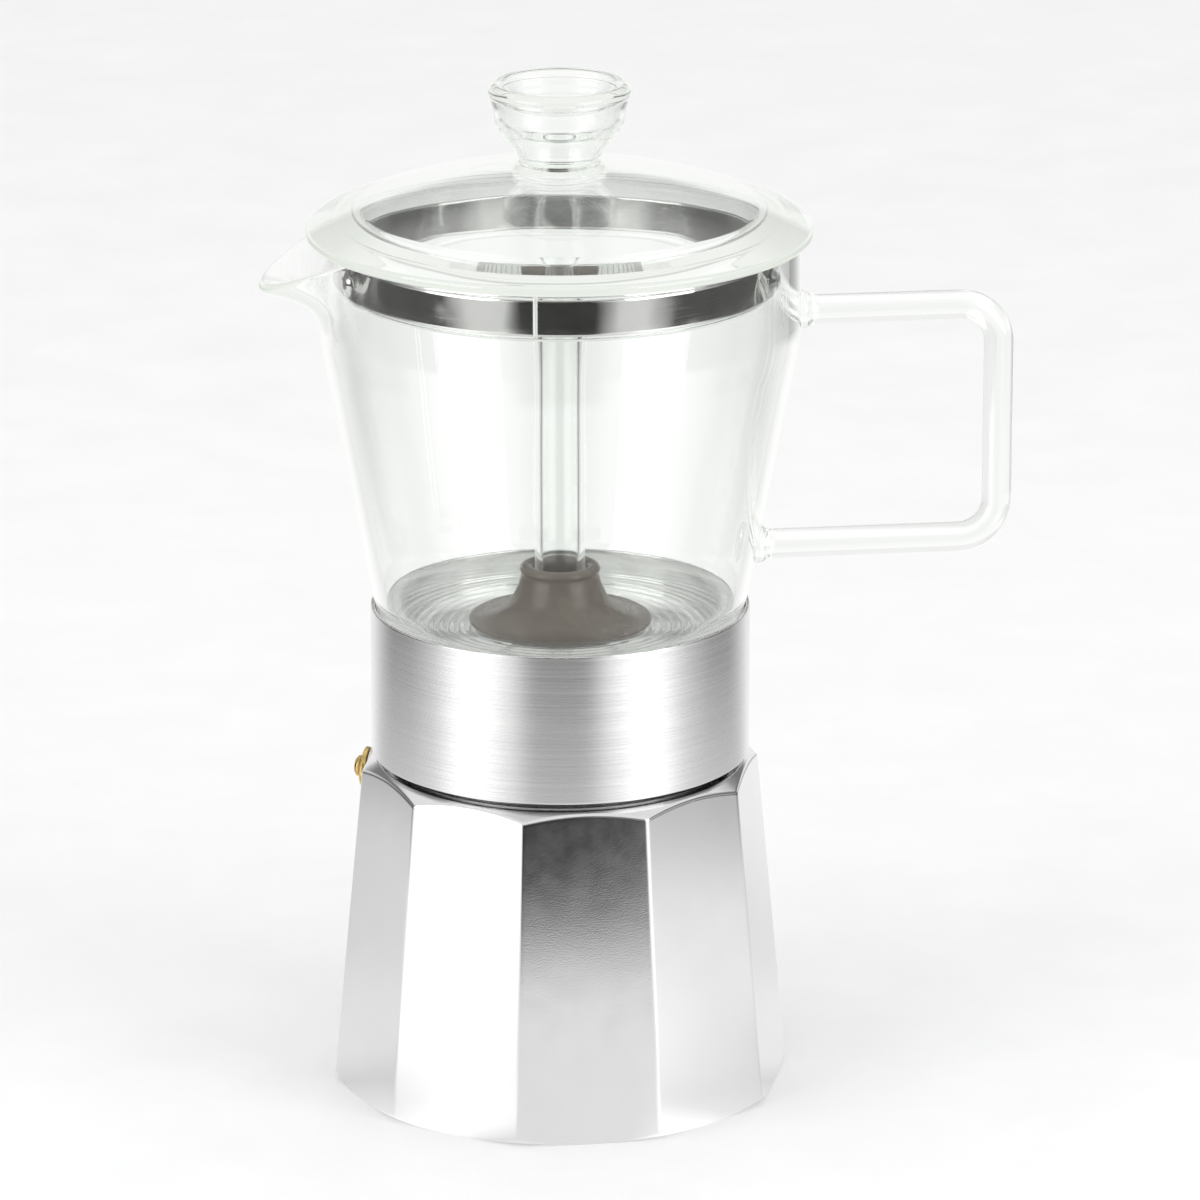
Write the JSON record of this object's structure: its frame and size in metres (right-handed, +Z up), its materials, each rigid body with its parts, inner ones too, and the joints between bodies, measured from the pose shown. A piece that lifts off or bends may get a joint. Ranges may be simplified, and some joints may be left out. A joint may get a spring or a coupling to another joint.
{
  "type": "stovetop coffee pot",
  "caption": "Stovetop pressure coffee pot: faceted aluminium boiler, screwed collar, clear glass jug with spout and loop handle, and a lift-off glass lid.",
  "frame": {"origin": "centre of the boiler's flat bottom, on the pot's axis", "axes": "+Z up along the pot's axis, +X towards the handle, so -X is the spout"},
  "size_m": [0.1737, 0.1154, 0.2364],
  "materials": {
    "cast_aluminium": "satin polished casting with fine scratches",
    "turned_aluminium": "fine turned, brushed round the axis",
    "pressed_aluminium": "plain pressed sheet",
    "brass": "turned, slightly dulled",
    "spring_steel": "mirror polished stainless strip",
    "gasket_rubber": "plain off-white silicone rubber",
    "silicone": "semi-gloss taupe silicone",
    "clear_glass": "clear, flame polished, faint green at thick edges"
  },
  "bodies": {
    "boiler": {"boiler": "cast_aluminium", "valve_body": "brass", "valve_washer": "gasket_rubber", "valve_retainer": "brass", "filter_funnel": "pressed_aluminium", "basket_screen": "pressed_aluminium"},
    "valve_pin": {"valve_pin": "brass", "valve_spring": "spring_steel"},
    "seal_pack": {"gasket": "gasket_rubber", "filter_plate": "pressed_aluminium"},
    "collar": {"collar": "turned_aluminium", "outlet_nozzle": "turned_aluminium"},
    "jug": {"jug": "clear_glass", "jug_handle": "clear_glass", "cone_seal": "silicone", "riser_tube": "clear_glass"},
    "lid": {"lid_glass": "clear_glass", "lid_knob": "clear_glass", "lid_band": "spring_steel"}
  },
  "joints": [
    {"name": "collar_rise", "type": "slide", "parent": "boiler", "child": "seal_pack", "axis": [0, 0, 1], "range_m": [0, 0.0076]},
    {"name": "collar_turn", "type": "hinge", "parent": "seal_pack", "child": "collar", "pos_m": [0, 0, 0.09], "axis": [0, 0, 1], "range_deg": [0, 900]},
    {"name": "jug_lift", "type": "slide", "parent": "collar", "child": "jug", "axis": [0, 0, 1], "range_m": [0, 0.05]},
    {"name": "lid_lift", "type": "slide", "parent": "jug", "child": "lid", "axis": [0, 0, 1], "range_m": [0, 0.05]},
    {"name": "valve_pop", "type": "slide", "parent": "boiler", "child": "valve_pin", "axis": [-0.9473, 0.3078, 0.0892], "range_m": [0, 0.0012], "stiffness_N_per_m": 1500, "springref_m": -0.001}
  ],
  "couplings": [
    {"joint": "collar_rise", "follows": "collar_turn", "m_per_rad": 0.00047746}
  ]
}
